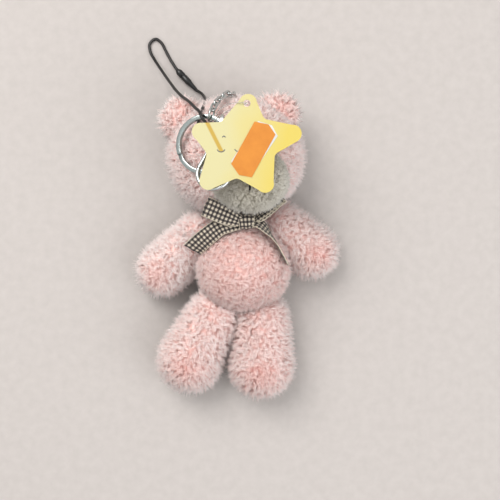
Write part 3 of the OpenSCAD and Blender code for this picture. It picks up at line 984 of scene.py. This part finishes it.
def build_limb(part, warm, torso):
    """An arm or a leg, with its fur parted on the pad at its end."""
    fur = FUR["limb"]
    cover, filling = part.replace("_", "_cover_"), part.replace("_", "_filling_")
    limb = limb_from(f"{part}_swing", cover, torso.centre)
    way = unit(limb.b - limb.a)
    front = limb.b + way * limb.rb * 0.25 + (0, 0, limb.rb * 0.95)
    line = way + (0.3, 0, 0)
    skin = plush(f"{part}_skin", part, limb, [cover, filling], M["pink_cloth"], fur["depth"])
    grow(skin, limb,
         lambda p: unit(way * 1.1 + 0.9 * parting(p, front, line)),
         lambda p: warm + 0.45 * patch(p, front, 7.5), M["pink"],
         keep=lambda p: torso.far(p) > -4, **fur)


def build_plush():
    head = from_box("head_cover")
    muzzle = from_box("muzzle_cover")
    torso = Union(Ball(TORSO_MIDDLE, TORSO_RADII), Limb(*CHEST), 4)
    build_head(head, muzzle)
    build_muzzle(head, muzzle)
    for side in ("left", "right"):
        build_ear(side, head)
    build_torso(torso, head)
    for part, warm in (("arm_left", 0.2), ("arm_right", 0.36), ("leg_left", 0.36), ("leg_right", 0.44)):
        build_limb(part, warm, torso)


PRESS.append((np.array(CHAIN_LINE), CHAIN_CLEAR))
build_plush()


# ---------------------------------------------------------------- ring and clasp

def frame_of(origin_joint, x_joint, z_joint, flip):
    """The place and axes of the clasp, from its joints."""
    origin = np.array(JOINTS[origin_joint]["pos_m"]) / MM
    x = unit(np.array(JOINTS[x_joint]["axis"], float))
    z = unit(np.array(JOINTS[z_joint]["axis"], float)) * flip
    return origin, x, np.cross(z, x), z


def split_ring():
    """Flat wire wound twice, with a step where one turn passes into the other."""
    low, high = box_mm("split_ring")
    centre = (low + high) / 2
    normal = unit(np.array(JOINTS["clasp_sway"]["axis"], float))
    normal = normal if normal[2] > 0 else -normal
    y = np.array([0.0, 1.0, 0.0])
    x = np.cross(y, normal)
    radius, layer = 12.9, 1.2                  # of the wire's middle, and from one turn to the next
    start = math.radians(208)                  # where the wire's end is
    turns = np.radians(np.arange(0, 712, 3.0))
    step = np.clip((np.degrees(turns) - 340) / 30, 0, 1)
    height = -layer / 2 + layer * step * step * (3 - 2 * step)
    route = centre + radius * (np.outer(np.cos(turns + start), x) + np.outer(np.sin(turns + start), y))
    route = route + np.outer(height, normal)
    ring = sweep("split_ring_wire", route, np.repeat(normal[None], len(route), 0), rounded(2.2, 1.1, 0.34),
                 M["ring_metal"])
    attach(ring, "split_ring")
    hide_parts("split_ring")


def clasp_body():
    """The hook: one bar round the wide end, up the long side and round the neck."""
    origin, x, y, z = frame_of("clasp_sway", "clasp_swivel", "gate_open", -1)
    wide_at, wide_radius = 24.2, 7.55          # the hook's round end, and how far along it lies
    neck_at, neck_radius = 10.3, 2.75
    line = []
    for angle in np.arange(78, -110.3, -4):
        a = math.radians(angle)
        line.append((wide_at + wide_radius * math.cos(a), wide_radius * math.sin(a)))
    for angle in np.arange(-112, -252, -10):
        a = math.radians(angle)
        line.append((neck_at + neck_radius * math.cos(a), neck_radius * math.sin(a)))
    line += [(10.9, 3.3), (12.2, 4.3)]         # up to the lug that holds the gate's pin
    route = smooth_route([origin + x * px + y * py for px, py in line], 0.6)
    hook = sweep("clasp_hook", route, np.repeat(z[None], len(route), 0), rounded(2.1, 2.4, 1.0), M["metal"])
    barrel = np.array([origin + x * place for place in (4.8, 5.0, 5.4, 7.2, 7.6, 7.8)])
    sections = np.array([disc(r, 28) for r in (2.0, 2.25, 2.3, 2.3, 2.25, 2.0)])
    swivel = sweep("clasp_swivel_barrel", barrel, np.repeat(z[None], 6, 0), sections, M["metal"])
    pin = origin + x * 12 + y * 5.6
    lug_line = np.array([pin + z * place for place in (-1.2, -1.1, 1.1, 1.2)])
    lug = sweep("clasp_lug", lug_line, np.repeat(x[None], 4, 0),
                np.array([disc(r, 24) for r in (1.35, 1.5, 1.5, 1.35)]), M["metal"])
    for obj in (hook, swivel, lug):
        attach(obj, "clasp_body")
    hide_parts("clasp_body")


split_ring()
clasp_body()


# ---------------------------------------------------------------- small pieces

def stitch():
    """The thread of the mouth, twisted from two strands, down the front of the muzzle."""
    low, high = box_mm("mouth_stitch")
    middle_x = ((low + high) / 2)[0]
    line = []
    for t in np.linspace(0, 1, 24):
        height = high[2] + (low[2] - high[2]) * t + 0.7 + 1.2 * math.sin(math.pi * t)
        line.append((middle_x, high[1] + (low[1] - high[1]) * t, height))
    line = np.array(line)
    strands = []
    for number, turn in enumerate((0, math.pi), 1):
        angle = np.linspace(0, 5 * math.pi, len(line)) + turn
        route = line + 0.22 * np.stack([np.cos(angle), 0 * angle, np.sin(angle)], axis=1)
        strands.append(sweep(f"mouth_thread_{number}", route, any_normals(route), disc(0.3, 8), M["thread"]))
    for obj in strands:
        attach(obj, "head")
    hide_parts("mouth_stitch")


def star_print():
    """Two shut eyes and a small brow, printed on the tag."""
    top = box_mm("star_tag")[1][2] + 0.02
    angles = np.radians(np.linspace(205, 335, 14))
    lid = 1.9 * np.stack([np.cos(angles), np.sin(angles)], axis=1)
    brow = np.array([(-0.75, -0.3), (-0.1, 0.3), (0.1, 0.3), (0.75, -0.3)])
    marks = (((-6.7, 44.2), lid), ((1.2, 44.4), lid), ((-5.4, 49.2), brow))
    for number, (centre, line) in enumerate(marks, 1):
        route = np.column_stack([line + centre, np.full(len(line), top)])
        obj = sweep(f"star_mark_{number}", route, np.repeat([[0, 0, 1.0]], len(line), 0),
                    rounded(0.45, 0.06, 0.02, 2), M["print"])
        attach(obj, "star_tag")


def dress(node_name, made, bevel=0.0):
    """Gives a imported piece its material, and a rounded edge if it has a bevel."""
    obj = frame["nodes"][node_name]
    obj.data.materials.clear()
    obj.data.materials.append(made)
    if bevel:
        edge = obj.modifiers.new("edge", "BEVEL")
        edge.width = bevel * MM
        edge.segments = 3
        edge.limit_method = "ANGLE"
    for polygon in obj.data.polygons:
        polygon.use_smooth = True


stitch()
star_print()
for name in ["head_loop"] + [f"chain_link_{number}" for number in range(1, 7)]:
    dress(name, M["metal"])
for name in ("clasp_eye", "clasp_gate", "clasp_pin", "clasp_spring"):
    dress(name, M["metal"])
for name in ("eye_left", "eye_right", "nose"):
    dress(name, M["black"])
for name in ("eye_washer_left", "eye_washer_right"):
    dress(name, M["washer"])
dress("tag_fastener", M["clear"])
dress("star_tag", M["star"], 0.22)
dress("under_label", M["white"])
dress("price_label", M["orange"])
